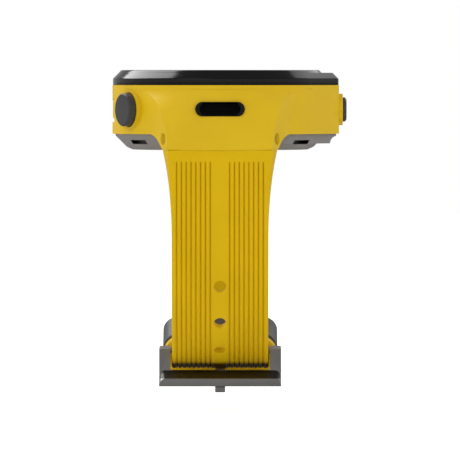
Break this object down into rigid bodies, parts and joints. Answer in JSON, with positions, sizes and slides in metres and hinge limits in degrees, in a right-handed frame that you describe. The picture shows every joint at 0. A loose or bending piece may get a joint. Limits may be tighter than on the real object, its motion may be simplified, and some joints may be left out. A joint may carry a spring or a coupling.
{
  "type": "wrist gps unit",
  "caption": "Wrist-worn GPS unit: round case with black bezel, charging socket, push buttons and a ridged rubber strap closed by a pin buckle with keepers.",
  "frame": {"origin": "middle of the wrist, on the centre of the strap's round bottom, halfway across the strap", "axes": "+Z out of the screen, -Y towards the charging socket at six o'clock, +X towards three o'clock"},
  "size_m": [0.049, 0.0492, 0.0672],
  "materials": {
    "case_plastic": "satin",
    "bezel_black": "gloss",
    "lens_glass": "gloss",
    "gasket_rubber": "matte",
    "display": "satin",
    "antenna_metal": "satin",
    "carrier_plastic": "matte",
    "circuit_board": "satin",
    "tin_plate": "satin",
    "chip_black": "matte",
    "battery_foil": "satin",
    "sensor_glass": "gloss",
    "screw_steel": "satin",
    "back_grey": "satin",
    "socket_black": "satin",
    "socket_steel": "satin",
    "button_grey": "satin",
    "strap_rubber": "satin",
    "keeper_grey": "satin",
    "buckle_metal": "satin"
  },
  "bodies": {
    "case": {"case_body": "case_plastic", "bezel": "bezel_black", "display_lens": "lens_glass", "lens_gasket": "gasket_rubber", "display_module": "display", "gps_antenna": "antenna_metal", "inner_carrier": "carrier_plastic", "main_board": "circuit_board", "shield_can": "tin_plate", "gps_receiver": "chip_black", "battery": "battery_foil", "vibration_motor": "tin_plate", "buzzer": "chip_black", "pressure_sensor": "chip_black", "sensor_window": "sensor_glass", "pulse_sensor_board": "circuit_board", "back_gasket": "gasket_rubber", "back_screws": "screw_steel", "back_cover": "back_grey", "socket_rim": "socket_black", "socket_shell": "socket_steel", "socket_tongue": "socket_black", "front_lug_pin": "screw_steel", "front_lug_screws": "screw_steel", "rear_lug_pin": "screw_steel", "rear_lug_screws": "screw_steel", "left_button_seal": "gasket_rubber", "right_button_seal": "gasket_rubber", "left_button_switch": "chip_black", "right_button_switch": "chip_black", "side_key_switch": "chip_black", "front_strap": "strap_rubber", "rear_strap": "strap_rubber", "fixed_keeper": "strap_rubber", "buckle_pin": "screw_steel"},
    "left_button": {"left_button_cap": "button_grey", "left_button_spring": "screw_steel", "left_button_clip": "screw_steel"},
    "right_button": {"right_button_cap": "button_grey", "right_button_spring": "screw_steel", "right_button_clip": "screw_steel"},
    "side_key": {"side_key": "case_plastic"},
    "buckle": {"buckle_frame": "buckle_metal"},
    "tang": {"buckle_tang": "buckle_metal"},
    "slider": {"sliding_keeper": "keeper_grey"}
  },
  "joints": [
    {"name": "left_button_press", "type": "slide", "parent": "case", "child": "left_button", "axis": [0.8829, 0.4695, 0], "range_m": [0, 0.0006], "stiffness_N_per_m": 500, "springref_m": -0.0006},
    {"name": "right_button_press", "type": "slide", "parent": "case", "child": "right_button", "axis": [-1, 0, 0], "range_m": [0, 0.0006], "stiffness_N_per_m": 500, "springref_m": -0.0006},
    {"name": "side_key_press", "type": "slide", "parent": "case", "child": "side_key", "axis": [1, 0, 0], "range_m": [0, 0.0004], "stiffness_N_per_m": 500, "springref_m": -0.0006},
    {"name": "buckle_swing", "type": "hinge", "parent": "case", "child": "buckle", "pos_m": [0, 0.0014, -0.0207], "axis": [1, 0, 0], "range_deg": [0, 8]},
    {"name": "tang_swing", "type": "hinge", "parent": "buckle", "child": "tang", "pos_m": [0, 0.0014, -0.0207], "axis": [1, 0, 0], "range_deg": [0, 8]},
    {"name": "keeper_slide", "type": "hinge", "parent": "case", "child": "slider", "pos_m": [0, 0.00235, 0], "axis": [1, 0, 0], "range_deg": [-2, 20]}
  ]
}
